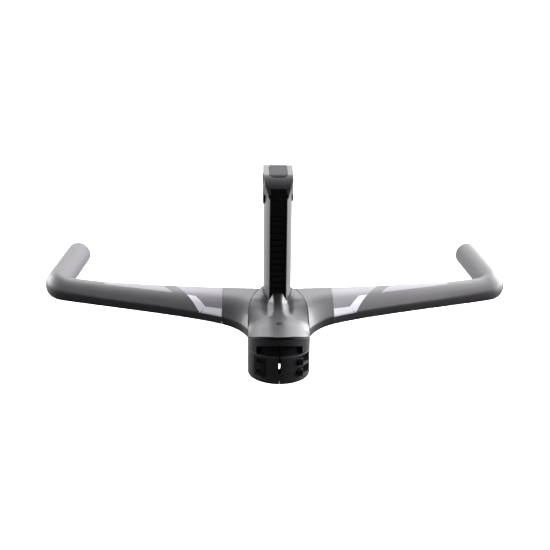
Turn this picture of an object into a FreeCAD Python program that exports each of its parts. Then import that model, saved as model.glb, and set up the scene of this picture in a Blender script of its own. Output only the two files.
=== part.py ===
import FreeCAD, Part
import math
import os
import Sketcher
from FreeCAD import Placement, Rotation, Vector

# Time-trial base bar: split steerer clamp, hub, two aero arms with forward grips,
# and a height-adjustable riser carrying a tilting head for arm supports.
# Origin: steerer axis at the underside of the clamp. +Z up the steerer, +Y forward, +X right.

SIZES = {
    # steerer clamp
    "steerer_rad": 14.35, "ring_rad": 26.0, "ring_height": 24.0, "ring_round": 1.2,
    "slit_width": 1.7, "slit_step": 9.6, "slit_fine": 0.24, "seam_high": 0.8, "seam_deep": 1.2,
    "pinch_depth": 19.7, "pinch_low": 9.0, "pinch_high": 18.6, "pinch_bolt_rad": 1.98,
    "pinch_hole_rad": 2.15, "pinch_head_rad": 3.4, "pinch_seat": 15.0, "washer_thick": 0.5,
    "plate_gap": 0.3, "plate_floor": 15.6, "ring_screw_circle": 20.2, "ring_screw_rad": 1.98,
    "ring_screw_seat": 4.2,
    # hub and deck cover
    "cover_screw_line": 27.0, "cover_screw_side": 14.0, "window_half": 18.8, "window_top": 34.6,
    "window_arch": 50.7, "hub_side": 25.5, "lip_half": 14.5, "lip_gap": 2.0,
    "steerer_top": 36.0, "grommet_inner": 16.4, "grommet_outer": 23.0, "deck_base": 44.0,
    "plug_rad": 2.9, "stub_reach": 48.0, "seam_gap": 0.2, "tenon_reach": 76.0,
    # aero arms
    "crest": 48.9, "belly": 34.0, "tail_height": 8.0, "grip_rad": 11.5, "lever_rad": 9.9,
    "lever_depth": 56.0, "grip_span": 200.0, "grip_level": 41.0, "grip_reach": 82.5, "toe_in": 4.3,
    "bend_rad": 17.0, "bend_centre": 103.6,
    "arm_bolt_near": 57.0, "arm_bolt_far": 68.0, "arm_bolt_line": 57.0,
    "arm_bolt_seat": 35.6,
    # riser post
    "post_rear": 45.0, "post_half": 12.1, "post_mid": 66.0, "post_nose": 92.0, "post_wall": 2.5,
    "post_base": 12.0, "post_height": 137.0, "channel_half": 6.8, "channel_depth": 3.1,
    "liner_thick": 1.2, "liner_base": 12.5, "tunnel_top": 43.4, "collar_top": 45.9, "slide_gap": 0.06,
    "rack_half": 6.6, "rack_face": 45.3, "rack_back": 47.9, "rack_base": 12.2, "rack_top": 121.0,
    "groove_first": 19.0, "groove_pitch": 5.5, "groove_count": 19.0, "groove_depth": 1.2,
    "stop_level": 15.5, "stop_seat": 10.9,
    # riser lock
    "lock_axis": 31.0, "lock_screw_rad": 2.5, "lock_seat": 20.4, "lock_floor": 26.6,
    "wedge_base": 30.0, "wedge_top": 38.8, "wedge_back": 26.6, "wedge_face": 35.2, "wedge_slope": 0.5,
    "jaw_base": 27.6, "jaw_top": 40.0, "jaw_front": 43.6, "jaw_half": 5.2,
    # tilting head
    "pivot_y": 64.0, "pivot_z": 137.0, "tongue_half": 6.2, "ear_rad": 8.6, "tilt_bolt_rad": 2.98,
    "head_top": 156.5, "head_front": 88.5, "insert_top": 146.0, "cap_half": 8.0, "cap_rear": 49.4,
    "cap_thick": 2.2, "head_half": 12.6, "front_hole_rad": 2.5, "front_hole_low": 142.0,
    "front_hole_high": 151.5,
    "tilt_lock_y": 62.0, "tilt_lock_z": 151.0, "tilt_lock_rad": 4.5,
}

doc = FreeCAD.newDocument("base_bar")
sheet = doc.addObject("Spreadsheet::Sheet", "Sizes")
for row, (alias, number) in enumerate(SIZES.items(), start=1):
    sheet.set(f"A{row}", alias)
    sheet.set(f"B{row}", str(number))
    sheet.setAlias(f"B{row}", alias)
doc.recompute()


class Size:
    """A number from the sheet together with the expression that gives it."""

    def __init__(self, value, text):
        self.value = value
        self.text = text

    def __add__(self, other):
        other = as_size(other)
        return Size(self.value + other.value, f"({self.text} + {other.text})")

    def __radd__(self, other):
        return as_size(other) + self

    def __sub__(self, other):
        other = as_size(other)
        return Size(self.value - other.value, f"({self.text} - {other.text})")

    def __rsub__(self, other):
        return as_size(other) - self

    def __mul__(self, other):
        other = as_size(other)
        return Size(self.value * other.value, f"({self.text} * {other.text})")

    def __rmul__(self, other):
        return as_size(other) * self

    def __neg__(self):
        return Size(-self.value, f"(0 - {self.text})")


def as_size(value):
    return value if isinstance(value, Size) else Size(float(value), f"({float(value)})")


class BoundSizes:
    """Sheet values for features that are bound to the sheet."""

    def __getattr__(self, alias):
        return Size(float(sheet.get(alias)), f"Sizes.{alias}")


class PlainSizes:
    """The same sheet values as plain numbers, for free-form shapes."""

    def __getattr__(self, alias):
        return float(sheet.get(alias))


S = BoundSizes()
P = PlainSizes()
nodes = []


def keep(item, label):
    item.Label = label
    nodes.append(item)
    return item


def bind(item, prop, value):
    item.setExpression(prop, as_size(value).text)


# ---------------------------------------------------------------- bodies built from sketches

def new_body(label):
    return keep(doc.addObject("PartDesign::Body", label), label)


def origin_plane(body, plane):
    return next(f for f in body.Origin.OriginFeatures if f.Role == f"{plane}_Plane")


def bind_point(sketch, geometry, end, point):
    for kind, value in zip(("DistanceX", "DistanceY"), point):
        number = sketch.addConstraint(Sketcher.Constraint(kind, -1, 1, geometry, end, value.value))
        sketch.setExpression(f"Constraints[{number}]", value.text)


def add_circle(sketch, x, y, rad):
    x, y, rad = as_size(x), as_size(y), as_size(rad)
    centre = Vector(x.value, y.value, 0)
    index = sketch.addGeometry(Part.Circle(centre, Vector(0, 0, 1), rad.value), False)
    bind_point(sketch, index, 3, (x, y))
    number = sketch.addConstraint(Sketcher.Constraint("Radius", index, rad.value))
    sketch.setExpression(f"Constraints[{number}]", rad.text)


def add_outline(sketch, corners):
    """Corners are (x, y); a corner (x, y, mid_x, mid_y) starts an arc through the mid point."""
    points = [(as_size(c[0]), as_size(c[1])) for c in corners]
    flat = [Vector(x.value, y.value, 0) for x, y in points]
    indices = []
    for i, corner in enumerate(corners):
        start, end = flat[i], flat[(i + 1) % len(flat)]
        if len(corner) == 4:
            middle = Vector(as_size(corner[2]).value, as_size(corner[3]).value, 0)
            indices.append(sketch.addGeometry(Part.Arc(start, middle, end), False))
        else:
            indices.append(sketch.addGeometry(Part.LineSegment(start, end), False))
    starts = []
    for index, start in zip(indices, flat):
        near = (sketch.Geometry[index].StartPoint - start).Length < 1e-6
        starts.append(1 if near else 2)
    for i, index in enumerate(indices):
        following = (i + 1) % len(indices)
        join = ("Coincident", index, 3 - starts[i], indices[following], starts[following])
        sketch.addConstraint(Sketcher.Constraint(*join))
        bind_point(sketch, index, starts[i], points[i])
        rad = sketch.Geometry[index].Radius if len(corners[i]) == 4 else 0.0
        chord = (flat[following] - flat[i]).Length
        if 2 * rad > chord + 0.01:
            sketch.addConstraint(Sketcher.Constraint("Radius", index, rad))


def new_sketch(body, name, plane, level, loops):
    sketch = body.newObject("Sketcher::SketchObject", name)
    sketch.AttachmentSupport = [(origin_plane(body, plane), "")]
    sketch.MapMode = "FlatFace"
    bind(sketch, "AttachmentOffset.Base.z", level)
    for loop in loops:
        if isinstance(loop, tuple):
            add_circle(sketch, *loop)
        else:
            add_outline(sketch, loop)
    return sketch


def check_change(body, before, cut):
    doc.recompute()
    after = body.Shape.Volume
    if (after >= before) == cut:
        raise ValueError(f"{body.Label}: feature went the wrong way")


def prism(body, name, plane, low, high, loops, cut=False):
    """Pad or pocket from low to high along the positive axis square to the plane."""
    low, high = as_size(low), as_size(high)
    before = body.Shape.Volume if body.Tip else 0.0
    level = -low if plane == "XZ" else low
    sketch = new_sketch(body, f"{name}_outline", plane, level, loops)
    feature = body.newObject("PartDesign::Pocket" if cut else "PartDesign::Pad", name)
    feature.Profile = sketch
    bind(feature, "Length", high - low)
    feature.Reversed = (plane == "XZ") != cut
    check_change(body, before, cut)
    return feature


def turned(body, name, corners, cut=False):
    """Solid of revolution about Z from an outline of (radius, height) corners."""
    before = body.Shape.Volume if body.Tip else 0.0
    sketch = new_sketch(body, f"{name}_outline", "XZ", 0, [corners])
    feature = body.newObject("PartDesign::Groove" if cut else "PartDesign::Revolution", name)
    feature.Profile = sketch
    feature.ReferenceAxis = (sketch, ["V_Axis"])
    feature.Angle = 360
    check_change(body, before, cut)
    return feature


def box_loop(left, right, low, high):
    return [(left, low), (right, low), (right, high), (left, high)]


# ---------------------------------------------------------------- fasteners from Part primitives

DOWN = Rotation(Vector(1, 0, 0), 180)
RIGHT = Rotation(Vector(0, 1, 0), 90)
LEFT = Rotation(Vector(0, 1, 0), -90)


def rod(name, rad, low, high):
    item = doc.addObject("Part::Cylinder", name)
    bind(item, "Radius", rad)
    bind(item, "Height", as_size(high) - low)
    bind(item, "Placement.Base.z", low)
    return item


def place(item, x, y, z, rotation):
    item.Placement = Placement(Vector(0, 0, 0), rotation)
    bind(item, "Placement.Base.x", x)
    bind(item, "Placement.Base.y", y)
    bind(item, "Placement.Base.z", z)
    return item


def cut_out(name, base, tool):
    item = doc.addObject("Part::Cut", name)
    item.Base = base
    item.Tool = tool
    return item


def bolt(name, rad, length, head_rad, head_height, spot, rotation):
    """Socket bolt; local Z runs from the tip (-length) to the seat (0) and the head above it."""
    blank = doc.addObject("Part::MultiFuse", f"{name}_blank")
    shank = rod(f"{name}_shank", rad, -as_size(length), 0)
    blank.Shapes = [shank, rod(f"{name}_head", head_rad, 0, head_height)]
    socket = doc.addObject("Part::Prism", f"{name}_socket")
    socket.Polygon = 6
    bind(socket, "Circumradius", as_size(head_rad) * 0.5)
    bind(socket, "Height", as_size(head_height))
    bind(socket, "Placement.Base.z", as_size(head_height) * 0.4)
    return place(cut_out(name, blank, socket), *spot, rotation)


def ring(name, outer, inner, low, high, spot, rotation):
    bore = rod(f"{name}_inner", inner, low - 1, as_size(high) + 1)
    return place(cut_out(name, rod(f"{name}_outer", outer, low, high), bore), *spot, rotation)


def group(label, items):
    bundle = doc.addObject("Part::Compound", label)
    bundle.Links = items
    return keep(bundle, label)


# ---------------------------------------------------------------- free-form helpers

def solid_node(label, shape):
    item = doc.addObject("Part::Feature", label)
    item.Shape = shape
    item.Placement = Placement()
    return keep(item, label)


def line(a, b):
    return Part.makeLine(Vector(*a), Vector(*b))


def arc(a, b, c):
    return Part.Arc(Vector(*a), Vector(*b), Vector(*c)).toShape()


def slab(wire, low, high):
    face = Part.Face(wire)
    face.translate(Vector(0, 0, low))
    return face.extrude(Vector(0, 0, high - low))


def block(x0, x1, y0, y1, z0, z1):
    return Part.makeBox(x1 - x0, y1 - y0, z1 - z0, Vector(x0, y0, z0))


def joined(shape, pieces):
    for piece in pieces:
        shape = shape.fuse(piece)
    return shape


def carved(shape, tools):
    for tool in tools:
        shape = shape.cut(tool)
    return shape


def side_slab(corners, half):
    """Slab of a (y, z) outline, spanning x from -half to +half."""
    wire = Part.makePolygon([Vector(-half, y, z) for y, z in corners + corners[:1]])
    return Part.Face(wire).extrude(Vector(2 * half, 0, 0))


def drill_x(y, z, rad, x0, x1):
    return Part.makeCylinder(rad, x1 - x0, Vector(x0, y, z), Vector(1, 0, 0))


def drill_y(x, z, rad, y0, y1):
    return Part.makeCylinder(rad, y1 - y0, Vector(x, y0, z), Vector(0, 1, 0))


def drill_z(x, y, rad, z0, z1):
    return Part.makeCylinder(rad, z1 - z0, Vector(x, y, z0), Vector(0, 0, 1))


def post_wire(grow=0.0):
    """Plan outline of the riser post: flat rear, bulging sides, rounded nose."""
    half, rear, mid, nose = P.post_half, P.post_rear, P.post_mid, P.post_nose
    flat = P.channel_half + 0.6
    edges = [
        line((-flat, rear, 0), (flat, rear, 0)),
        arc((flat, rear, 0), (half - 1.4, rear + 9, 0), (half, mid, 0)),
        arc((half, mid, 0), (half - 1.2, mid + 13, 0), (6, nose - 3, 0)),
        arc((6, nose - 3, 0), (0, nose, 0), (-6, nose - 3, 0)),
        arc((-6, nose - 3, 0), (-half + 1.2, mid + 13, 0), (-half, mid, 0)),
        arc((-half, mid, 0), (-half + 1.4, rear + 9, 0), (-flat, rear, 0)),
    ]
    wire = Part.Wire(edges)
    return wire.makeOffset2D(grow, 2) if grow else wire


def head_wire():
    """Plan outline of the tilting head: as wide as the post, with full-width corners."""
    half, rear, mid, front = P.head_half, P.post_rear, P.post_mid, P.post_nose
    edges = [
        line((3.6 - half, rear, 0), (half - 3.6, rear, 0)),
        arc((half - 3.6, rear, 0), (half - 1.1, rear + 1.3, 0), (half - 0.2, rear + 4, 0)),
        line((half - 0.2, rear + 4, 0), (half, mid, 0)),
        line((half, mid, 0), (half, front, 0)),
        line((half, front, 0), (-half, front, 0)),
        line((-half, front, 0), (-half, mid, 0)),
        line((-half, mid, 0), (0.2 - half, rear + 4, 0)),
        arc((0.2 - half, rear + 4, 0), (1.1 - half, rear + 1.3, 0), (3.6 - half, rear, 0)),
    ]
    return Part.Wire(edges)


def corner_trim():
    """Everything outside the slanting facet that narrows the head's right rear corner to the post."""
    low = Vector(P.channel_half + 0.6, P.post_rear, 137.6)
    side = Vector(P.post_half + 0.1, P.post_rear + 9, 137.6)
    high = Vector(P.head_half, P.post_rear, P.head_top - 3)
    outward = (side - low).cross(high - low)
    space = block(-40, 40, -40, 40, 0, 30)
    space.Placement = Placement(low, Rotation(Vector(0, 0, 1), outward))
    return space


def hub_wire(grow=0.0):
    """Plan outline shared by the hub and its deck cover."""
    side = P.hub_side
    edges = [
        arc((-side, 0, 0), (0, -side, 0), (side, 0, 0)),
        line((side, 0, 0), (side - 0.6, 28, 0)),
        arc((side - 0.6, 28, 0), (22.2, 46, 0), (16.8, 66, 0)),
        line((16.8, 66, 0), (14.0, 86, 0)),
        arc((14.0, 86, 0), (0, 98.5, 0), (-14.0, 86, 0)),
        line((-14.0, 86, 0), (-16.8, 66, 0)),
        arc((-16.8, 66, 0), (-22.2, 46, 0), (-side + 0.6, 28, 0)),
        line((-side + 0.6, 28, 0), (-side, 0, 0)),
    ]
    wire = Part.Wire(edges)
    return wire.makeOffset2D(grow, 2) if grow else wire


# ---------------------------------------------------------------- aero arm surface

def tail_line(x):
    return 14.7 + 0.311 * x - 17.3 * math.exp(-(x - 25) / 8)


def lead_line(x):
    return 72 + 0.0025 * x + 0.00064 * x * x


def tail_base(x):
    return 28 + 6.1 * (1 - math.exp(-(x - 25) / 45))


def aero_poles(x):
    """Sixteen control points (y, z) of the wing section at x, from the tail over the top."""
    tail, lead, low = tail_line(x), lead_line(x), tail_base(x)
    nose = lead + 3.5
    top = low + P.tail_height
    chord = nose - tail
    rise = P.crest - top
    drop = P.belly - low
    return [
        (tail, low + 4), (tail, top - 0.4), (tail + 1.2, top + 0.4), (tail + 0.2 * chord, top + 0.62 * rise),
        (tail + 0.44 * chord, top + 0.98 * rise), (tail + 0.68 * chord, P.crest + 0.3),
        (lead + 0.5, P.crest - 0.5), (nose + 0.2, P.crest - 3.2), (nose + 0.8, P.crest - 6.6),
        (nose - 2, P.belly + 3.2), (tail + 0.74 * chord, P.belly + 0.4), (tail + 0.55 * chord, P.belly - 0.2),
        (tail + 0.36 * chord, low + 0.85 * drop - 0.2), (tail + 0.18 * chord, low + 0.4 * drop - 0.2),
        (tail + 1.4, low - 0.2), (tail, low + 0.6),
    ]


def round_poles(rad):
    reach = 3 * rad / (2 + math.cos(math.pi / 8))
    turns = [math.pi - i * math.pi / 8 for i in range(16)]
    return [(reach * math.cos(t), reach * math.sin(t)) for t in turns]


def skin_solid(rows):
    """Solid under a cubic surface whose control rows are closed sections, capped at both ends."""
    around, along = len(rows[0]), len(rows)
    surface = Part.BSplineSurface()
    surface.buildFromPolesMultsKnots(
        rows, [4] + [1] * (along - 4) + [4], [1] * (around + 1),
        list(range(along - 2)), list(range(around + 1)), False, True, 3, 3)
    side = surface.toShape()
    ends = [e for e in side.Edges if e.isClosed()]
    caps = [Part.Face(Part.Wire([e])) for e in ends]
    shell = Part.makeShell([side] + caps)
    shell.sewShape()
    return Part.makeSolid(shell)


TIP = 177.0


def arm_stations():
    """(centre x, centre y, yaw in degrees, share of the round grip section)."""
    stations = [(x, None, 0, 0) for x in (20, 26, 33, 41, 50, 64, 84, 108, 132)]
    stations += [(152, None, 0, 0.04), (166, None, 0, 0.12)]
    centre_x = P.grip_span - P.bend_rad
    end = 90 + P.toe_in
    for yaw, share in ((18, 0.3), (36, 0.55), (54, 0.78), (72, 0.93), (end, 1)):
        turn = math.radians(yaw)
        across = centre_x + P.bend_rad * math.sin(turn)
        along = P.bend_centre - P.bend_rad * math.cos(turn)
        stations.append((across, along, yaw, share))
    for distance in (0.2, 0.5, 1.0):
        x, y = grip_point(distance * P.grip_reach)
        stations.append((x, y, end, 1))
    return stations


def grip_heading():
    turn = math.radians(90 + P.toe_in)
    return Vector(math.cos(turn), math.sin(turn), 0)


def grip_point(distance):
    """Point on the right grip's axis, at a distance from the end of the bend."""
    turn = math.radians(90 + P.toe_in)
    x = P.grip_span - P.bend_rad + P.bend_rad * math.sin(turn)
    y = P.bend_centre - P.bend_rad * math.cos(turn)
    heading = grip_heading()
    return x + heading.x * distance, y + heading.y * distance


def section(station, aero, circle):
    """One closed section: the aero outline blended towards the circle, then yawed into place."""
    x, along, yaw, share = station
    level = P.grip_level
    if along is None:
        along = 0.5 * (tail_line(x) + lead_line(x) + 3.5)
    turn = math.radians(yaw)
    points = []
    for (c, h), (rc, rh) in zip(aero, circle):
        across = c + (rc - c) * share
        height = h + (rh - h) * share
        points.append(Vector(x - across * math.sin(turn), along + across * math.cos(turn), level + height))
    return points


def local_aero(x):
    middle = 0.5 * (tail_line(x) + lead_line(x) + 3.5)
    return [(y - middle, z - P.grip_level) for y, z in aero_poles(x)]


def wing_skin():
    circle = round_poles(P.grip_rad)
    return skin_solid([section(s, local_aero(min(s[0], TIP)), circle) for s in arm_stations()])


def oval_poles(half, tall):
    reach = 3 / (2 + math.cos(math.pi / 8))
    turns = [math.pi - i * math.pi / 8 for i in range(16)]
    return [(reach * half * math.cos(t), reach * tall * math.sin(t)) for t in turns]


def wing_core(shrink=0.0):
    """Oval cable space inside the arm; a slightly smaller copy is the tenon that fills its root."""
    circle = round_poles(8.6 - shrink)
    rows = []
    for station in arm_stations()[3:]:
        x = min(station[0], TIP)
        chord = lead_line(x) + 3.5 - tail_line(x)
        oval = [(c + 0.07 * chord, h) for c, h in oval_poles(0.34 * chord - shrink, 4.1 - shrink)]
        rows.append(section(station, oval, circle))
    return skin_solid(rows)


def mirrored(shape):
    return shape.mirror(Vector(0, 0, 0), Vector(1, 0, 0))


# ---------------------------------------------------------------- steerer clamp

def build_clamp():
    body = new_body("steerer_clamp")
    turned(body, "clamp_band", [
        (S.steerer_rad, 0.5), (S.steerer_rad + 0.5, 0),
        (S.ring_rad - S.ring_round, 0, S.ring_rad - 0.35, 0.35),
        (S.ring_rad, S.ring_round), (S.ring_rad, S.ring_height - 0.15),
        (S.ring_rad - 0.15, S.ring_height),
        (S.steerer_rad, S.ring_height)])
    slit = box_loop(-0.5 * S.slit_width, 0.5 * S.slit_width, -S.ring_rad - 1, -S.steerer_rad + 2)
    prism(body, "clamp_slit", "XY", S.slit_step, S.ring_height + 1, [slit], cut=True)
    fine = box_loop(-0.5 * S.slit_fine, 0.5 * S.slit_fine, -S.ring_rad - 1, -S.steerer_rad + 2)
    prism(body, "clamp_slit_low", "XY", -1, S.slit_step + 0.5, [fine], cut=True)
    depth, reach = S.pinch_depth, S.pinch_head_rad + 0.5
    holes = [(-depth, S.pinch_low, S.pinch_hole_rad), (-depth, S.pinch_high, S.pinch_hole_rad)]
    prism(body, "pinch_holes", "YZ", -S.ring_rad, S.ring_rad, holes, cut=True)
    pockets = []
    for level in (S.pinch_low, S.pinch_high):
        pockets.append(box_loop(-S.ring_rad - 2, -9.0, level - reach, level + reach))
    prism(body, "head_pockets", "YZ", S.pinch_seat, S.ring_rad + 1, pockets, cut=True)
    prism(body, "plate_pocket", "XZ", -28, -S.plate_floor, [plate_outline(0)], cut=True)
    spots = ring_screw_spots()
    holes = [(x, y, S.ring_screw_rad + 0.17) for x, y in spots]
    prism(body, "ring_screw_holes", "XY", -1, S.ring_height + 1, holes, cut=True)
    seats = [(x, y, 3.75) for x, y in spots]
    prism(body, "ring_screw_seats", "XY", -1, S.ring_screw_seat, seats, cut=True)
    build_clamp_hardware(depth, spots)


def build_clamp_hardware(depth, spots):
    """Nut plate, the two pinch bolts with washers, and the screws that hold the band to the hub."""
    plate = new_body("clamp_nut_plate")
    gap = S.plate_gap
    prism(plate, "plate_block", "XZ", -28, -S.plate_floor - gap, [plate_outline(gap)])
    prism(plate, "plate_curve", "XY", 0, S.ring_height, [(0, 0, 60), (0, 0, S.ring_rad - 0.1)], cut=True)
    thread = S.pinch_bolt_rad + 0.03
    threads = [(-depth, S.pinch_low, thread), (-depth, S.pinch_high, thread)]
    prism(plate, "plate_threads", "YZ", -S.ring_rad, 0, threads, cut=True)

    bolts, washers = [], []
    for i, level in enumerate((S.pinch_low, S.pinch_high)):
        spot = (S.pinch_seat, -depth, level)
        above = (S.pinch_seat + S.washer_thick, -depth, level)
        bolts.append(bolt(f"pinch_bolt_{i}", S.pinch_bolt_rad, 31.4, S.pinch_head_rad, 3.8, above, RIGHT))
        washers.append(ring(f"pinch_washer_{i}", 3.5, 2.05, 0.02, S.washer_thick - 0.02, spot, RIGHT))
    group("clamp_bolts", bolts)
    group("clamp_washers", washers)
    screws = []
    for i, (x, y) in enumerate(spots):
        spot = (x, y, S.ring_screw_seat)
        screws.append(bolt(f"ring_screw_{i}", S.ring_screw_rad, 27.6, 3.5, 3.8, spot, DOWN))
    group("ring_screws", screws)


def plate_outline(gap):
    """Nut plate seen from the rear: two rounded corners beside the slit, open at the flank."""
    right, low, high, round_off = -10.8 - gap, 4.9 + gap, 22.7 - gap, 1.8
    bulge = round_off * (1 - math.sqrt(0.5))
    return [(-30, low), (right - round_off, low, right - bulge, low + bulge), (right, low + round_off),
            (right, high - round_off, right - bulge, high - bulge), (right - round_off, high), (-30, high)]


def ring_screw_spots():
    circle = S.ring_screw_circle
    turns = [math.radians(a) for a in (15, 65, 115, 165)]
    return [(circle * math.cos(t), circle * math.sin(t)) for t in turns]


# ---------------------------------------------------------------- hub

def build_hub():
    skin = wing_skin()
    core = wing_core()
    stub = skin.common(block(0, P.stub_reach, -60, 140, 0, 80))
    stub = stub.cut(slab(hub_wire(0.3), 20, 90).common(deck_zone(0.3)))
    tenon = wing_core(0.12).common(block(P.stub_reach - 8, P.tenon_reach, -60, 140, 0, 80))
    hub = slab(hub_wire(0.5), P.ring_height + P.seam_high, 60).cut(deck_zone(0.3))
    foot = slab(hub_wire(0.5 - P.seam_deep), P.ring_height, P.ring_height + P.seam_high + 1)
    crown = slab(hub_wire(-2.6), P.ring_height, 90).common(deck_dome(2.4))
    skirt = slab(post_wire(P.liner_thick + 3.0), P.liner_base, P.tunnel_top)
    boss = block(-9, 9, 26.8, 46, 16, P.ring_height + 1)
    inner_end = min(skin.Faces, key=lambda face: face.BoundBox.XMax)
    root = inner_end.extrude(Vector(-21, 0, 0)).common(block(-1, 21, 40, 90, 0, 80))
    root = root.cut(slab(hub_wire(0.3), 20, 90).common(deck_zone(0.3)))
    pieces = [foot, crown, root, mirrored(root), stub, mirrored(stub), tenon, mirrored(tenon), skirt, boss]
    centre = joined(hub, pieces)
    cuts = [
        slab(post_wire(P.liner_thick + 0.02), 0, 80),
        drill_z(0, 0, P.steerer_rad + 0.3, 10, P.steerer_top),
        drill_z(0, 0, P.plug_rad - 0.6, 30, 50),
        drill_z(0, 0, P.plug_rad + 0.2, 41.3, 50),
        slab(post_wire(2.5), P.tunnel_top, 90),
        window_space(),
        deck_zone(P.lip_gap).common(block(-P.lip_half, P.lip_half, -40, -23.4, 20, 80)),
        block(-5.5, 5.5, 26.2, 46, P.lock_floor, 60),
        drill_z(0, P.lock_axis, P.lock_screw_rad + 0.1, 10, 40),
        drill_z(0, P.lock_axis, 4.6, 10, P.lock_seat),
        cable_way(),
        mirrored(cable_way()),
    ]
    for x, y in ring_screw_spots():
        cuts.append(drill_z(x.value, y.value, P.ring_screw_rad + 0.03, 20, 33))
    for x in cover_screw_spots():
        cuts.append(drill_z(x, P.cover_screw_line, 1.55, 20, 50))
        cuts.append(drill_z(x, P.cover_screw_line, 3.0, 20, 27.2))
        cuts.append(drill_z(x, P.cover_screw_line, 3.7, 35.6, 60))
    for x in arm_bolt_spots():
        cuts.append(drill_z(x, P.arm_bolt_line, 2.01, 30, 43.6))
    solid_node("center_body", carved(centre, cuts))

    right = skin.cut(block(-10, P.stub_reach + P.seam_gap, -60, 160, 0, 90)).cut(core)
    start = Vector(*grip_point(P.grip_reach - P.lever_depth), P.grip_level)
    right = right.cut(Part.makeCylinder(P.lever_rad, P.lever_depth + 5, start, grip_heading()))
    for x in arm_bolt_spots()[:2]:
        right = right.cut(drill_z(x, P.arm_bolt_line, 2.1, 30, 41))
        right = right.cut(drill_z(x, P.arm_bolt_line, 3.8, 25, P.arm_bolt_seat))
    solid_node("right_arm", right)
    solid_node("left_arm", mirrored(right))


def arm_bolt_spots():
    return (P.arm_bolt_near, P.arm_bolt_far, -P.arm_bolt_near, -P.arm_bolt_far)


def window_space():
    """Rear cable opening between the clamp band and the lip."""
    space = drill_z(0, 0, 60, P.ring_height - 1, P.window_top)
    space = space.cut(drill_z(0, 0, P.grommet_inner - 0.2, 0, 60))
    arch = drill_y(0, P.window_top - P.window_arch, P.window_arch, -60, 0)
    return space.common(block(-P.window_half, P.window_half, -60, -7.7, 0, 60)).common(arch)


def cable_way():
    """Hose channel from the tunnel side through the stub and tenon."""
    return drill_x(54, 40.8, 3.2, 22, 90)


def build_hub_parts():
    grommet = new_body("cable_grommet")
    inner, outer = S.grommet_inner, S.grommet_outer
    ribs = []
    for i in range(5):
        level = 24.9 + 1.8 * i
        valley = outer - 0.7
        ribs += [(outer, level), (valley, level + 0.45), (valley, level + 1.1), (outer, level + 1.5)]
    low, high = S.ring_height + 0.2, S.window_top - 0.2
    turned(grommet, "grommet_band", [(inner, low), (outer, low)] + ribs + [(outer, high), (inner, high)])
    side = S.window_half - 0.3
    keep_out = [box_loop(-30, 30, -7.9, 30), box_loop(-30, -side, -30, -7.9), box_loop(side, 30, -30, -7.9)]
    for i, loop in enumerate(keep_out):
        prism(grommet, f"grommet_trim_{i}", "XY", 20, 40, [loop], cut=True)
    hub_line = S.window_top - S.window_arch - 0.4
    above = [(0, hub_line, S.window_arch + 20), (0, hub_line, S.window_arch)]
    prism(grommet, "grommet_arch", "XZ", -30, -5, above, cut=True)
    prism(grommet, "grommet_split", "XY", 20, 40, [box_loop(-0.3, 0.3, -26, -17.6)], cut=True)

    plug = new_body("preload_plug")
    turned(plug, "plug_form", [(0, 38), (S.plug_rad - 0.8, 38), (S.plug_rad - 0.8, 41.6), (S.plug_rad, 41.6),
                               (S.plug_rad, 44.0), (S.plug_rad - 0.5, 44.4), (0, 44.5)])

    deck = slab(hub_wire(), 20, 90).common(deck_dome(0)).common(deck_zone(0))
    deck = deck.cut(slab(hub_wire(-2.3), 20, 90).common(deck_dome(2.0)))
    for x in cover_screw_spots():
        deck = deck.fuse(drill_z(x, P.cover_screw_line, 3.4, 36, 43))
    cuts = [
        slab(post_wire(2.4), 0, P.collar_top + 0.3),
        slab(post_wire(0.6), 40, 90),
        slab(post_wire(P.liner_thick + 3.3), 30, P.tunnel_top + 0.3),
        drill_z(0, 0, P.plug_rad + 0.1, 30, 60),
    ]
    for x in cover_screw_spots():
        cuts.append(drill_z(x, P.cover_screw_line, 1.48, 30, 43))
    solid_node("top_cover", carved(deck, cuts))
    screws = []
    for i, x in enumerate(cover_screw_spots()):
        screws.append(bolt(f"cover_screw_{i}", 1.45, 14.6, 2.75, 3.0, (x, S.cover_screw_line, 27.2), DOWN))
    group("cover_screws", screws)
    screws = []
    for i, x in enumerate(arm_bolt_spots()):
        screws.append(bolt(f"arm_bolt_{i}", 1.98, 7.6, 3.5, 2.0, (x, S.arm_bolt_line, S.arm_bolt_seat), DOWN))
    group("arm_bolts", screws)


def cover_screw_spots():
    return (-P.cover_screw_side, P.cover_screw_side)


def ramp(value, knots):
    """Smooth height along a line, through (place, height) knots."""
    for (a, low), (b, high) in zip(knots, knots[1:]):
        if value <= b:
            t = max(0.0, (value - a) / (b - a))
            return low + (high - low) * t * t * (3 - 2 * t) * 0.35 + (high - low) * t * 0.65
    return knots[-1][1]


# Deck profiles from rear to front: (y, value).
DECK_CENTRE = [(-40, -2.4), (-26, -1.8), (0, 0), (25, 1.2), (36, 2.4), (46, 4.0), (60, 5.0), (70, 3.6),
               (80, 1.6), (92, -0.4), (110, -1.0)]
DECK_FALL = [(-40, 9.0), (0, 9.0), (5, 7.6), (10, 5.9), (15, 3.6), (20, 1.7), (25, 0), (30, -1.0),
             (36, -1.5), (46, -0.9), (60, 0.4), (70, -0.3), (76, 0.4), (84, 1.4), (110, 1.6)]
DECK_HALF = [(-40, 25.5), (28, 25.2), (46, 22.4), (66, 17.0), (86, 14.2), (110, 10)]
SPINE_LIFT = [(-40, 0), (10, 0), (16, 0.5), (24, 0.9), (31, 1.6), (37, 2.8), (41, 4.2), (45, 6.2), (110, 7.0)]
SPINE_WIDTH = [(-40, 10), (10, 9.0), (18, 6.4), (24, 5.3), (38, 5.2), (44, 6.2), (110, 6.2)]
TROUGH_DEPTH = [(-40, 0), (12, 0), (24, 1.3), (40, 1.8), (46, 1.2), (54, 0), (110, 0)]
SPINE_END = 50
TROUGH_LINE = 9.2
TROUGH_SPREAD = 2.8


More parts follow.
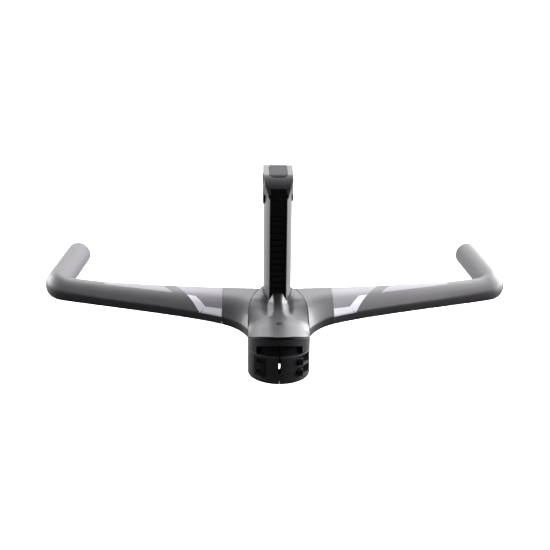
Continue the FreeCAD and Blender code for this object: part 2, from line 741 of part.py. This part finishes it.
def deck_height(x, y):
    """Domed deck that meets the arm roots at its edges, with a spine climbing to the riser."""
    centre = P.deck_base + ramp(y, DECK_CENTRE)
    share = min(1.3, abs(x) / ramp(y, DECK_HALF))
    across = ramp(y, DECK_FALL) * share ** 3
    spine = ramp(y, SPINE_LIFT) * math.exp(-abs(x / ramp(y, SPINE_WIDTH)) ** 6) if y < SPINE_END else 0.0
    scoop = ramp(y, TROUGH_DEPTH) * math.exp(-((abs(x) - TROUGH_LINE) / TROUGH_SPREAD) ** 2)
    return centre - across + spine - scoop


def deck_dome(drop):
    """Everything under the deck surface, lowered by drop."""
    rows = []
    for i in range(48):
        y = -36 + 2.9 * i
        rows.append([Vector(1.5 * k, y, deck_height(1.5 * k, y) - drop) for k in range(-20, 21)])
    surface = Part.BSplineSurface()
    surface.interpolate(rows)
    return surface.toShape().extrude(Vector(0, 0, -45))


def deck_zone(drop):
    """Space above the rim line that separates the deck cover from the hub."""
    rim = [(-40, 47.1), (-26, 41.6), (0, 31.3), (8, 32.2), (20, 36.6), (36, 41.3), (130, 41.3)]
    low = [(y, z - drop) for y, z in rim]
    return side_slab(low + [(130, 95), (-40, 95)], 60)


# ---------------------------------------------------------------- riser

def build_riser():
    pivot_y, pivot_z = P.pivot_y, P.pivot_z
    shaft = slab(post_wire(), P.post_base, 160)
    rear, top = P.post_rear, P.post_height
    shoulder = [(rear - 1, top - 0.27), (57, top + 3.4), (60, top + 3.8), (70, top - 1.7), (95, top - 8.4)]
    trim = side_slab([(rear - 1, 0)] + shoulder + [(95, 0)], 30)
    ears = drill_x(pivot_y, pivot_z, P.ear_rad, -30, 30)
    post = shaft.common(trim.fuse(ears))
    cavity = slab(post_wire(-P.post_wall), 0, 124)
    cavity = cavity.common(block(-30, 30, rear + P.channel_depth + 2.4, 120, 0, 200))
    slot = P.tongue_half + 0.4
    chan = P.channel_half
    cuts = [
        cavity,
        block(-slot, slot, 54.4, 75, 120, 170),
        block(-chan, chan, rear - 1, rear + P.channel_depth, 0, 170),
        drill_x(pivot_y, pivot_z, 3.05, -30, 30),
        drill_x(pivot_y, pivot_z, 6.4, 9.2, 30),
        drill_x(pivot_y, pivot_z, 8.7, -30, -11.4),
        drill_x(pivot_y, pivot_z, 4.7, -30, -7.4),
        drill_x(P.post_mid, P.stop_level, 1.55, -30, 30),
        drill_x(P.post_mid, P.stop_level, 2.8, P.stop_seat, 30),
        drill_x(P.post_mid, P.stop_level, 2.8, -30, -P.stop_seat),
    ]
    solid_node("riser_post", carved(post, cuts))

    rack = new_body("riser_rack")
    half = S.rack_half
    prism(rack, "rack_bar", "XY", S.rack_base, S.rack_top, [box_loop(-half, half, S.rack_face, S.rack_back)])
    low, face = S.groove_first, S.rack_face
    groove = [(face - 1, low - 1), (face, low - 1), (face + S.groove_depth, low - 0.6),
              (face + S.groove_depth, low + 0.6), (face, low + 1), (face - 1, low + 1)]
    cut = prism(rack, "rack_groove", "YZ", -half - 1, half + 1, [groove], cut=True)
    row = rack.newObject("PartDesign::LinearPattern", "rack_grooves")
    row.Originals = [cut]
    row.Direction = (next(f for f in rack.Origin.OriginFeatures if f.Role == "Z_Axis"), [""])
    bind(row, "Length", S.groove_pitch * (S.groove_count - 1))
    row.Occurrences = int(P.groove_count)
    rack.Tip = row

    cover = new_body("bolt_cover")
    prism(cover, "cover_plate", "XY", S.rack_top + 0.4, 135.6, [box_loop(-half, half, face, S.rack_back)])
    lip = box_loop(-half - 1, half + 1, S.rack_top, S.rack_top + 1.6)
    prism(cover, "cover_lip", "XZ", face - 1, face + 0.3, [lip], cut=True)

    liner = slab(post_wire(P.liner_thick), P.liner_base, P.tunnel_top)
    jaw_slot = block(-5.6, 5.6, rear - 5, rear + 3, 27.2, 40.5)
    solid_node("riser_liner", carved(liner, [slab(post_wire(P.slide_gap), 0, 90), jaw_slot]))
    collar = slab(post_wire(2.1), P.tunnel_top + 0.3, P.collar_top).cut(slab(post_wire(0.12), 0, 90))
    upper = [edge for edge in collar.Edges if edge.BoundBox.ZMin > P.collar_top - 0.01]
    rim = [edge for edge in upper if edge.BoundBox.YMin < rear - 1.5]
    solid_node("riser_collar", collar.makeChamfer(0.9, rim))

    flange = slab(post_wire(1.1), P.post_base - 3.4, P.post_base)
    plug = slab(post_wire(-P.post_wall - 0.2), P.post_base - 1, 19)
    plug = plug.common(block(-30, 30, rear + 5.8, 120, 0, 30))
    level = P.stop_level
    stop = carved(flange.fuse(plug), [drill_z(0, 68, 5, 0, 30), drill_x(P.post_mid, level, 1.47, -30, 30)])
    solid_node("post_end_stop", stop)
    screws = [bolt("stop_screw_0", 1.45, 5.4, 2.6, 0.9, (S.stop_seat, S.post_mid, level), RIGHT),
              bolt("stop_screw_1", 1.45, 5.4, 2.6, 0.9, (-S.stop_seat, S.post_mid, level), LEFT)]
    group("end_stop_screws", screws)


def build_lock():
    slope, face, base = S.wedge_slope, S.wedge_face, S.wedge_base
    spot = (0, S.lock_axis, S.lock_seat)
    group("lock_screw", [bolt("lock_bolt", S.lock_screw_rad, 19.8, 4.25, 4.0, spot, DOWN)])
    clip = new_body("lock_clip")
    rings = [(0, S.lock_axis, 4.4), (0, S.lock_axis, S.lock_screw_rad + 0.02)]
    prism(clip, "clip_ring", "XY", 26.75, 27.35, rings)
    prism(clip, "clip_gap", "XY", 26, 28, [box_loop(-1.2, 1.2, S.lock_axis - 6, S.lock_axis - 1)], cut=True)

    wedge = new_body("lock_wedge")
    lean = (S.wedge_top - base) * slope
    back = S.wedge_back
    form = [(back, base), (face, base), (face + lean, S.wedge_top), (back, S.wedge_top)]
    prism(wedge, "wedge_form", "YZ", -S.jaw_half, S.jaw_half, [form])
    prism(wedge, "wedge_thread", "XY", 20, 50, [(0, S.lock_axis, S.lock_screw_rad + 0.06)], cut=True)

    jaw = new_body("lock_jaw")
    rear_low = face + (S.jaw_base - base) * slope + 0.06
    rear_high = face + (S.jaw_top - base) * slope + 0.06
    front, tip = S.jaw_front, S.jaw_front + 1.35
    outline = [(rear_low, S.jaw_base), (front, S.jaw_base)]
    for count in (2, 3):
        level = S.groove_first + S.groove_pitch * count
        outline += [(front, level - 0.9), (tip, level - 0.5), (tip, level + 0.5), (front, level + 0.9)]
    outline += [(front, S.jaw_top), (rear_high, S.jaw_top)]
    prism(jaw, "jaw_form", "YZ", -S.jaw_half, S.jaw_half, [outline])


# ---------------------------------------------------------------- tilting head

def head_profile():
    """Side outline of the head: rounded top corners, underside sloping over the tilt pivot."""
    rear, top, front, side = P.post_rear, P.head_top, P.head_front, -30
    round_off = 10
    mid = round_off * (1 - math.sqrt(0.5))
    points = [(rear + round_off, top), (front - 1.2, top), (front, top - 1.2), (front, 139), (68, 139),
              (57, 140.9), (rear, 137.6), (rear, top - round_off)]
    spots = [(side, y, z) for y, z in points]
    edges = [line(a, b) for a, b in zip(spots, spots[1:])]
    edges.append(arc(spots[-1], (side, rear + mid, top - mid), spots[0]))
    return Part.Face(Part.Wire(edges)).extrude(Vector(-2 * side, 0, 0))


def build_head():
    pivot_y, pivot_z, top, front = P.pivot_y, P.pivot_z, P.head_top, P.head_front
    rear, slot, chan = P.post_rear, P.tongue_half, P.channel_half
    shell = slab(head_wire(), 120, top + 1)
    profile = head_profile()
    head = shell.common(profile).cut(corner_trim()).cut(mirrored(corner_trim()))
    for x0, x1 in ((slot, 30), (-30, -slot)):
        head = head.cut(drill_x(pivot_y, pivot_z, P.ear_rad + 0.4, x0, x1))
    tongue = drill_x(pivot_y, pivot_z, 8, -slot, slot).fuse(block(-slot, slot, 57, 71, pivot_z, 146))
    cap = P.cap_half
    cuts = [
        block(-chan, chan, rear - 1, rear + P.channel_depth, 120, P.insert_top + 0.2),
        cap_wire_slab(cap, P.cap_rear, front + 2, top - P.cap_thick, top + 2),
        drill_x(pivot_y, pivot_z, 4.0, -30, 30),
        drill_y(0, P.front_hole_low, P.front_hole_rad, 76.5, front + 2),
        drill_y(0, P.front_hole_high, P.front_hole_rad, 76.5, front + 2),
        drill_x(P.tilt_lock_y, P.tilt_lock_z, P.tilt_lock_rad + 0.1, -30, -8.4),
        drill_x(P.tilt_lock_y, P.tilt_lock_z, 2.5, -12, 4),
        block(-chan - 1.6, -chan + 0.1, rear - 1, rear + 3, 137, 141.5),
        block(chan - 0.1, chan + 1.6, rear - 1, rear + 3, 137, 141.5),
    ]
    solid_node("tilt_head", carved(head.fuse(tongue), cuts))
    lid = cap_wire_slab(cap - 0.2, P.cap_rear + 0.2, front - 0.2, top - P.cap_thick + 0.02, top)
    solid_node("head_cap", lid.common(profile))

    insert = new_body("head_insert")
    half = S.rack_half
    bar = box_loop(-half, half, S.post_rear + 0.15, S.rack_back + 0.1)
    prism(insert, "insert_bar", "XY", 138.0, S.insert_top, [bar])
    build_head_hardware()


def build_head_hardware():
    """Tilt bolt with its nut and bushes, and the screw that locks the tilt."""
    spot = (-8.5, S.tilt_lock_y, S.tilt_lock_z)
    group("tilt_lock_screw", [bolt("tilt_lock", 2.45, 9.0, S.tilt_lock_rad, 4.7, spot, LEFT)])
    spot = (9.3, S.pivot_y, S.pivot_z)
    group("tilt_bolt", [bolt("tilt_pin", S.tilt_bolt_rad, 21.3, 6.25, 3.5, spot, RIGHT)])
    nut = doc.addObject("Part::MultiFuse", "nut_blank")
    nut.Shapes = [rod("nut_flange", 8.5, 11.45, 13.0), rod("nut_barrel", 4.6, 7.6, 11.5)]
    threaded = cut_out("nut_threaded", nut, rod("nut_thread", S.tilt_bolt_rad + 0.03, 5, 12.6))
    group("tilt_nut", [place(threaded, 0, S.pivot_y, S.pivot_z, LEFT)])
    bushes = []
    for i, rotation in enumerate((RIGHT, LEFT)):
        blank = doc.addObject("Part::MultiFuse", f"bush_blank_{i}")
        edge = S.tongue_half
        sleeve = rod(f"bush_sleeve_{i}", 3.95, 2.5, edge + 0.2)
        flange = rod(f"bush_flange_{i}", 6.0, edge + 0.03, edge + 0.37)
        blank.Shapes = [sleeve, flange]
        bore = rod(f"bush_bore_{i}", S.tilt_bolt_rad + 0.06, 2, 8)
        bushes.append(place(cut_out(f"bush_{i}", blank, bore), 0, S.pivot_y, S.pivot_z, rotation))
    group("tilt_bushes", bushes)


def cap_wire_slab(half, rear, front, low, high):
    """U-shaped lid: rounded rear corners, square front."""
    round_off = 5.0
    bulge = round_off * (1 - math.sqrt(0.5))
    edges = [
        line((-half, front, 0), (-half, rear + round_off, 0)),
        arc((-half, rear + round_off, 0), (-half + bulge, rear + bulge, 0), (-half + round_off, rear, 0)),
        line((-half + round_off, rear, 0), (half - round_off, rear, 0)),
        arc((half - round_off, rear, 0), (half - bulge, rear + bulge, 0), (half, rear + round_off, 0)),
        line((half, rear + round_off, 0), (half, front, 0)),
        line((half, front, 0), (-half, front, 0)),
    ]
    return slab(Part.Wire(edges), low, high)


def export_all():
    os.makedirs("parts", exist_ok=True)
    doc.recompute()
    for item in doc.Objects:
        if any(word in item.State for word in ("Invalid", "Error")):
            raise ValueError(f"{item.Label} did not build: {item.State}")
    for item in nodes:
        shape = item.Shape
        if shape.isNull() or not shape.isValid() or not shape.Solids:
            raise ValueError(f"{item.Label} has no valid solid")
    for item in nodes:
        item.Shape.exportStep(f"parts/{item.Label}.step")
        print(item.Label, len(item.Shape.Solids), round(item.Shape.Volume), item.Shape.BoundBox)


build_clamp()
build_hub()
build_hub_parts()
build_riser()
build_lock()
build_head()
export_all()
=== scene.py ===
import math
import bpy
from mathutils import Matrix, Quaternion, Vector

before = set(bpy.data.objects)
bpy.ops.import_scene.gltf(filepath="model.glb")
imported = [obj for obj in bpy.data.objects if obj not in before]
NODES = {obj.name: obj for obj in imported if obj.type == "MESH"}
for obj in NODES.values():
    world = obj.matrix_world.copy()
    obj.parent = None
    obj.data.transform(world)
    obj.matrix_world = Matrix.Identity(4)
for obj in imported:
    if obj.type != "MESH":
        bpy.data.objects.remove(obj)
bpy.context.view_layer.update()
MM = 0.001


# ---------------------------------------------------------------- node tree helpers

# Pairs are the values of a smooth ramp: where it starts and where it is full.
LINE_FADE = (-0.15, 0.15)      # mm across a painted line
UPWARD = (0.25, 0.45)          # upward part of a surface normal
EDGE_LEAN = (0.01, 0.12)       # how far a rounded normal leans away from the flat one

BEVEL_SAMPLES = 6
# Sockets of Blender's mix node for each kind of data: first input, second input, result.
MIX_SOCKETS = {"RGBA": (6, 7, 2), "FLOAT": (2, 3, 0)}


class Tree:
    """The node tree of a material or a world, built with short calls."""

    def __init__(self, owner):
        owner.use_nodes = True
        self.tree = owner.node_tree
        self.tree.nodes.clear()

    def add(self, kind, **props):
        node = self.tree.nodes.new(kind)
        for key, value in props.items():
            setattr(node, key, value)
        return node

    def link(self, a, b):
        self.tree.links.new(a, b)

    def put(self, socket, value):
        """Link value to the socket if it is a socket too, otherwise set it."""
        if isinstance(value, bpy.types.NodeSocket):
            self.link(value, socket)
        elif isinstance(value, tuple) and len(value) == 3 and socket.type == "RGBA":
            socket.default_value = (*value, 1.0)
        else:
            socket.default_value = value

    def math(self, op, a, b=0.0, c=0.0):
        node = self.add("ShaderNodeMath", operation=op)
        for socket, value in zip(node.inputs, (a, b, c)):
            self.put(socket, value)
        return node.outputs[0]

    def times(self, a, b):
        return self.math("MULTIPLY", a, b)

    def plus(self, a, b):
        return self.math("ADD", a, b)

    def dot(self, a, b):
        node = self.add("ShaderNodeVectorMath", operation="DOT_PRODUCT")
        self.put(node.inputs[0], a)
        self.put(node.inputs[1], b)
        return node.outputs["Value"]

    def step(self, value, start, full, top=1.0):
        """Smooth ramp from 0 to top as value goes from start to full."""
        node = self.add("ShaderNodeMapRange", interpolation_type="SMOOTHSTEP")
        self.put(node.inputs["Value"], value)
        node.inputs["From Min"].default_value = start
        node.inputs["From Max"].default_value = full
        node.inputs["To Max"].default_value = top
        return node.outputs["Result"]

    def mix(self, fac, a, b, kind="RGBA"):
        """a where fac is 0, b where it is 1."""
        first, second, result = MIX_SOCKETS[kind]
        node = self.add("ShaderNodeMix", data_type=kind)
        self.put(node.inputs[0], fac)
        self.put(node.inputs[first], a)
        self.put(node.inputs[second], b)
        return node.outputs[result]

    def glow(self, kind, colour, strength):
        """Emission or background shader."""
        node = self.add(kind)
        self.put(node.inputs["Color"], colour)
        self.put(node.inputs["Strength"], strength)
        return node.outputs[0]

    def by_viewer(self, others, camera):
        """Shader that the camera sees as one thing and all other rays as another."""
        node = self.add("ShaderNodeMixShader")
        path = self.add("ShaderNodeLightPath")
        self.link(path.outputs["Is Camera Ray"], node.inputs[0])
        self.link(others, node.inputs[1])
        self.link(camera, node.inputs[2])
        return node.outputs[0]


def shade(colour, factor, plus=0.0):
    """colour made darker or lighter, with no channel above 1."""
    return tuple(min(1.0, channel * factor + plus) for channel in colour)


class Net(Tree):
    """A material's node tree. Lengths inside it are millimetres."""

    def __init__(self, name):
        self.mat = bpy.data.materials.new(name)
        super().__init__(self.mat)
        coord = self.add("ShaderNodeTexCoord")
        scale = self.add("ShaderNodeVectorMath", operation="SCALE")
        self.link(coord.outputs["Object"], scale.inputs[0])
        scale.inputs["Scale"].default_value = 1 / MM
        self.pos = scale.outputs[0]
        self.x, self.y, _ = self.split(self.pos)

    def split(self, vector):
        node = self.add("ShaderNodeSeparateXYZ")
        self.link(vector, node.inputs[0])
        return node.outputs[0], node.outputs[1], node.outputs[2]

    def beside(self, a, b, across, along):
        """1 to the left of the line from a to b, in the plane of the two coordinates given."""
        run = Vector((b[0] - a[0], b[1] - a[1])).normalized()
        left = self.times(self.math("SUBTRACT", across, a[0]), -run.y)
        side = self.math("MULTIPLY_ADD", self.math("SUBTRACT", along, a[1]), run.x, left)
        return self.step(side, *LINE_FADE)

    def panel(self, points, across, along):
        """1 inside a convex panel whose corners run anticlockwise."""
        inside = 1.0
        for a, b in zip(points, points[1:] + points[:1]):
            inside = self.times(self.beside(a, b, across, along), inside)
        return inside

    def facing_up(self):
        """1 where the surface looks upward."""
        geometry = self.add("ShaderNodeNewGeometry")
        return self.step(self.split(geometry.outputs["Normal"])[2], *UPWARD)

    def noise(self, size, detail=3.0, stretch=(1, 1, 1), rough=0.5):
        """Noise with features about size millimetres across."""
        mapping = self.add("ShaderNodeMapping")
        self.link(self.pos, mapping.inputs["Vector"])
        mapping.inputs["Scale"].default_value = [s / size for s in stretch]
        node = self.add("ShaderNodeTexNoise")
        node.inputs["Scale"].default_value = 1.0
        node.inputs["Detail"].default_value = detail
        node.inputs["Roughness"].default_value = rough
        self.link(mapping.outputs[0], node.inputs["Vector"])
        return node.outputs["Fac"]

    def edge(self, radius):
        """(rounded normal, edge factor) from a bevel of radius millimetres."""
        bevel = self.add("ShaderNodeBevel", samples=BEVEL_SAMPLES)
        bevel.inputs["Radius"].default_value = radius * MM
        flat = self.add("ShaderNodeNewGeometry").outputs["Normal"]
        lean = self.math("SUBTRACT", 1.0, self.dot(bevel.outputs[0], flat))
        return bevel.outputs[0], self.step(lean, *EDGE_LEAN)

    def bump(self, height, depth, normal):
        """Bump of depth millimetres on top of the normal given."""
        node = self.add("ShaderNodeBump")
        node.inputs["Strength"].default_value = 1.0
        node.inputs["Distance"].default_value = depth * MM
        self.put(node.inputs["Height"], height)
        self.link(normal, node.inputs["Normal"])
        return node.outputs[0]

    def vary(self, noise, colour, darkest, lightest):
        """colour times darkest where the noise is 0, times lightest where it is 1."""
        return self.mix(noise, shade(colour, darkest), shade(colour, lightest))

    def cover(self, base, where, share, colour):
        """base with a share of colour laid over it where the mask is 1."""
        return self.mix(self.times(where, share), base, colour)

    def uneven(self, noise, least, gain):
        """Roughness of least where the noise is 0, and gain more where it is 1."""
        return self.plus(least, self.times(noise, gain))

    def output(self, shader):
        out = self.add("ShaderNodeOutputMaterial")
        self.link(shader, out.inputs[0])
        return self.mat

    def finish(self, **values):
        """The material with these inputs of a principled shader, written with _ for each space."""
        shader = self.add("ShaderNodeBsdfPrincipled")
        for key, value in values.items():
            self.put(shader.inputs[key.replace("_", " ")], value)
        return self.output(shader.outputs[0])


# ---------------------------------------------------------------- materials

# Painted shade on the deck's spine, darker than the rest of the deck: mm from the middle, mm forward
# of the steerer axis, share of the colour.
SPINE_ACROSS = (7.5, 4.5)
SPINE_ALONG = (10, 40)
SPINE_PAINTED_SHADE = 0.12

# Paint areas of an arm, as (mm from the middle, mm forward of the steerer axis).
PANEL_SEAM = (42.4, 42.7)
PANEL_END = ((68.5, 37.3), (91.3, 76.4))
STRIPE_UPPER = [(71.5, 53.0), (62.4, 39.4), (68.5, 34.0), (82.0, 56.5)]
STRIPE_LOWER = [(62.6, 39.7), (42.5, 33.8), (42.5, 22.0), (70.0, 30.0)]
WEDGE = [(91.8, 59.6), (153.0, 78.5), (160.0, 90.0), (115.0, 97.0)]
BARE_GREY = (0.25, 0.25, 0.26)

# Noise levels between which scuffs and chips in the paint show.
SCUFF_LEVELS = (0.62, 0.78)
CHIP_LEVELS = (0.45, 0.65)
ARM_CHIP_LEVELS = (0.5, 0.66)
GRAIN_CLOUD = 22               # size of the mottling on a grained surface, in grain sizes


def paint(name, colour, rough, coat=0.0, shine=0.5, painted_spine_shade=False):
    """Satin paint with faint mottling, orange peel and worn edges, and on request painted shade
    along the deck's spine.
    """
    net = Net(name)
    soft, wear = net.edge(radius=0.35)
    cloud = net.noise(size=26)
    peel = net.noise(size=0.9, detail=2)
    scuff = net.step(net.noise(size=3.2, detail=5, rough=0.7), *SCUFF_LEVELS)
    base = net.vary(cloud, colour, darkest=0.82, lightest=1.2)
    # Painted shade: the spine's colour is darkened to stand in for the shade on its steep rear face.
    if painted_spine_shade:
        narrow = net.step(net.math("ABSOLUTE", net.x), *SPINE_ACROSS)
        spine_shade_mask = net.times(narrow, net.step(net.y, *SPINE_ALONG))
        base = net.mix(spine_shade_mask, base, shade(colour, SPINE_PAINTED_SHADE))
    chips = net.times(wear, net.step(net.noise(size=1.1, detail=4), *CHIP_LEVELS))
    base = net.cover(base, chips, share=0.35, colour=shade(colour, 4, plus=0.03))
    gloss = net.uneven(cloud, least=rough - 0.04, gain=0.07)
    gloss = net.uneven(scuff, least=gloss, gain=0.08)
    normal = net.bump(peel, depth=0.02, normal=soft)
    return net.finish(Base_Color=base, Roughness=gloss, Normal=normal, Coat_Weight=coat,
                      Coat_Roughness=0.25, Specular_IOR_Level=shine)


def wing_paint(name, dark, light, stripe):
    """Dark arm with a pale inboard panel, a bent stripe along its edge and a slim outer wedge."""
    net = Net(name)
    soft, wear = net.edge(radius=0.3)
    across = net.math("ABSOLUTE", net.x)
    inboard = net.times(net.step(across, *PANEL_SEAM), net.beside(*PANEL_END, across, net.y))
    legs = [net.panel(leg, across, net.y) for leg in (STRIPE_UPPER, STRIPE_LOWER)]
    bent = net.times(net.math("MAXIMUM", *legs), inboard)
    wedge = net.panel(WEDGE, across, net.y)
    top = net.facing_up()
    pale = net.times(net.math("MAXIMUM", inboard, wedge), top)
    cloud = net.noise(size=24)
    flake = net.noise(size=0.35, detail=2, rough=0.8)
    silver = net.vary(flake, light, darkest=0.88, lightest=1.12)
    base = net.mix(pale, net.vary(cloud, dark, darkest=0.85, lightest=1.15), silver)
    base = net.mix(net.times(bent, top), base, stripe)
    chips = net.times(wear, net.step(net.noise(size=1.3, detail=4), *ARM_CHIP_LEVELS))
    base = net.cover(base, chips, share=0.3, colour=BARE_GREY)
    gloss = net.uneven(cloud, least=0.42, gain=0.07)
    gloss = net.uneven(pale, least=gloss, gain=-0.06)
    normal = net.bump(net.noise(size=0.9, detail=2), depth=0.012, normal=soft)
    return net.finish(Base_Color=base, Roughness=gloss, Normal=normal, Coat_Weight=0.08,
                      Coat_Roughness=0.3)


def grained(name, colour, rough, size, depth, metal=0.0):
    """Moulded or cast surface with a fine grain, its size and depth in millimetres."""
    net = Net(name)
    soft, wear = net.edge(radius=0.3)
    grain = net.noise(size, detail=4, rough=0.65)
    cloud = net.noise(size * GRAIN_CLOUD)
    base = net.vary(cloud, colour, darkest=0.75, lightest=1.3)
    base = net.cover(base, wear, share=0.25, colour=shade(colour, 2.5, plus=0.02))
    gloss = net.uneven(grain, least=rough - 0.06, gain=0.14)
    return net.finish(Base_Color=base, Roughness=gloss, Metallic=metal,
                      Normal=net.bump(grain, depth, soft))


def brushed(name, colour, rough, stretch):
    """Turned or brushed metal with fine lines."""
    net = Net(name)
    soft, wear = net.edge(radius=0.2)
    lines = net.noise(size=0.35, stretch=stretch, rough=0.7)
    stain = net.noise(size=6, detail=4)
    base = net.vary(stain, colour, darkest=0.8, lightest=1.15)
    base = net.cover(base, wear, share=0.4, colour=shade(colour, 1.5, plus=0.05))
    gloss = net.uneven(lines, least=rough - 0.08, gain=0.2)
    return net.finish(Base_Color=base, Roughness=gloss, Metallic=1.0,
                      Normal=net.bump(lines, depth=0.012, normal=soft))


satin = paint("satin_black", (0.060, 0.059, 0.064), rough=0.42, coat=0.1)
# The deck has painted shade along its spine.
deck = paint("deck_satin", (0.070, 0.069, 0.073), rough=0.40, coat=0.1, painted_spine_shade=True)
post_paint = paint("post_satin", (0.105, 0.103, 0.108), rough=0.36, coat=0.2)
head_paint = paint("head_satin", (0.175, 0.171, 0.178), rough=0.50, shine=0.35)
cap_paint = paint("cap_satin", (0.030, 0.030, 0.033), rough=0.60, shine=0.22)
arm = wing_paint("arm_paint", dark=(0.102, 0.098, 0.104), light=(0.25, 0.24, 0.265),
                 stripe=(0.90, 0.89, 0.94))
alloy = grained("black_alloy", (0.035, 0.035, 0.038), rough=0.36, size=0.5, depth=0.006, metal=0.6)
plastic = grained("rack_plastic", (0.005, 0.005, 0.0055), rough=0.5, size=0.6, depth=0.02)
rubber = grained("black_rubber", (0.006, 0.006, 0.007), rough=0.72, size=0.8, depth=0.05)
liner = grained("liner_plastic", (0.03, 0.03, 0.032), rough=0.55, size=0.7, depth=0.02)
oxide = brushed("black_oxide", (0.06, 0.06, 0.064), rough=0.38, stretch=(1, 1, 0.15))
bronze = grained("sintered_bronze", (0.42, 0.27, 0.11), rough=0.42, size=0.3, depth=0.02, metal=1.0)

FINISH = {
    "steerer_clamp": satin, "clamp_nut_plate": alloy, "clamp_bolts": oxide, "clamp_washers": oxide,
    "ring_screws": oxide, "center_body": satin, "cable_grommet": rubber, "preload_plug": rubber,
    "top_cover": deck, "cover_screws": oxide, "left_arm": arm, "right_arm": arm, "arm_bolts": oxide,
    "riser_liner": liner, "riser_collar": rubber, "lock_screw": oxide, "lock_clip": oxide,
    "lock_wedge": alloy, "lock_jaw": alloy, "riser_post": post_paint, "riser_rack": plastic,
    "bolt_cover": plastic, "post_end_stop": liner, "end_stop_screws": oxide, "tilt_bushes": bronze,
    "tilt_bolt": oxide, "tilt_nut": alloy, "tilt_head": head_paint, "head_insert": plastic,
    "head_cap": cap_paint, "tilt_lock_screw": oxide,
}
for name, material in FINISH.items():
    mesh = NODES[name].data
    mesh.materials.clear()
    mesh.materials.append(material)


# ---------------------------------------------------------------- studio

COOL_WHITE = (0.97, 0.96, 1.0)

# Area lights: name, place and target in metres, size in metres, power in watts.
LIGHTS = (
    ("right_box", (0.62, 0.52, 0.28), (0.14, 0.05, 0.05), (0.50, 0.45), 8),
    ("right_low", (0.9, 0.20, 0.20), (0.02, 0.04, 0.12), (0.5, 0.5), 5),
    ("back_box", (0.0, 1.2, 0.60), (0, 0.05, 0.05), (1.4, 0.4), 5),
    ("left_strip", (-0.75, 0.50, 0.30), (-0.02, 0.05, 0.12), (0.5, 0.5), 7),
)

# Bright areas of the world: direction, cosines from it where the area starts and is full, strength.
LOBES = (
    ((0.25, 1, 0.25), 0.35, 1.0, 1.12),       # backdrop in front of the bar
    ((1, 0.5, 0.4), 0.3, 0.95, 1.15),         # right side
    ((-1, 0.3, 0.3), 0.3, 0.95, 0.8),         # left side
    ((0.55, 0.2, 0.8), 0.86, 1.0, 3.6),       # small and strong, high on the right
)
WORLD_AMBIENT = 0.02
WORLD_SEEN = ((0.8, 0.8, 0.8), 1.05)          # colour and strength for the camera

FLOOR_REACH = 6.0                             # m
FLOOR_LEVEL = -0.16                           # m
FLOOR_GREYS = ((0.93, 0.93, 0.93), (0.96, 0.96, 0.96))
FLOOR_GLOW = 0.82                             # what keeps it white for the camera
FLOOR_FAR = (120, 520)                        # mm forward, where its reflection brightens
FLOOR_REFLECTED = (0.05, 1.1)                 # strength in reflections, near and far

# The camera was fitted to the photo's outline.
LENS, SENSOR, CLIP = 67.16, 36.0, 0.01        # mm, mm, m
TURN, TILT, ROLL = math.radians(1.58), math.radians(19.91), math.radians(0.563)
BACK, RISE, ASIDE = 0.864, 0.0811, 0.00374    # m from the origin: away, and up and left as seen


def stage_light(name, place, target, size, power):
    """Rectangular area light at place, turned towards target."""
    data = bpy.data.lights.new(name, "AREA")
    data.shape = "RECTANGLE"
    data.size, data.size_y = size
    data.energy = power
    light = bpy.data.objects.new(name, data)
    light.location = place
    light.rotation_euler = (Vector(target) - Vector(place)).to_track_quat("-Z", "Y").to_euler()
    bpy.context.scene.collection.objects.link(light)


def studio_world():
    """Bright in front, at the sides and high on the right, and plain where the camera sees it."""
    world = bpy.data.worlds.new("studio")
    bpy.context.scene.world = world
    net = Tree(world)
    way = net.add("ShaderNodeTexCoord").outputs["Generated"]
    total = WORLD_AMBIENT
    for direction, start, full, strength in LOBES:
        toward = net.dot(way, Vector(direction).normalized())
        total = net.plus(total, net.step(toward, start, full, strength))
    lit = net.glow("ShaderNodeBackground", COOL_WHITE, total)
    seen = net.glow("ShaderNodeBackground", *WORLD_SEEN)
    out = net.add("ShaderNodeOutputWorld")
    net.link(net.by_viewer(lit, seen), out.inputs[0])


def floor():
    """Plain white for the camera; in reflections dark near the object and bright beyond it."""
    mesh = bpy.data.meshes.new("studio_floor")
    corners = [(-1, -1), (1, -1), (1, 1), (-1, 1)]
    mesh.from_pydata([(x * FLOOR_REACH, y * FLOOR_REACH, FLOOR_LEVEL) for x, y in corners],
                     [], [(0, 1, 2, 3)])
    obj = bpy.data.objects.new("studio_floor", mesh)
    bpy.context.scene.collection.objects.link(obj)
    net = Net("floor_white")
    diffuse = net.add("ShaderNodeBsdfDiffuse")
    net.link(net.mix(net.noise(size=40, detail=2), *FLOOR_GREYS), diffuse.inputs[0])
    white = net.add("ShaderNodeAddShader")
    net.link(diffuse.outputs[0], white.inputs[0])
    net.link(net.glow("ShaderNodeEmission", (1.0, 1.0, 1.0), FLOOR_GLOW), white.inputs[1])
    strength = net.mix(net.step(net.y, *FLOOR_FAR), *FLOOR_REFLECTED, kind="FLOAT")
    reflected = net.glow("ShaderNodeEmission", COOL_WHITE, strength)
    mesh.materials.append(net.output(net.by_viewer(reflected, white.outputs[0])))


def camera():
    """Camera at the photo's angle, seen from behind and above."""
    data = bpy.data.cameras.new("camera")
    data.lens = LENS
    data.sensor_width = SENSOR
    data.clip_start = CLIP
    obj = bpy.data.objects.new("camera", data)
    bpy.context.scene.collection.objects.link(obj)
    level = math.cos(TILT)
    look = Vector((math.sin(TURN) * level, math.cos(TURN) * level, -math.sin(TILT)))
    right = Vector((math.cos(TURN), -math.sin(TURN), 0))
    up = right.cross(look)
    obj.location = -BACK * look + RISE * up - ASIDE * right
    aim = look.to_track_quat("-Z", "Y") @ Quaternion((0, 0, 1), ROLL)
    obj.rotation_euler = aim.to_euler()
    bpy.context.scene.camera = obj


studio_world()
floor()
camera()
for light in LIGHTS:
    stage_light(*light)
bpy.context.scene.view_settings.view_transform = "Standard"
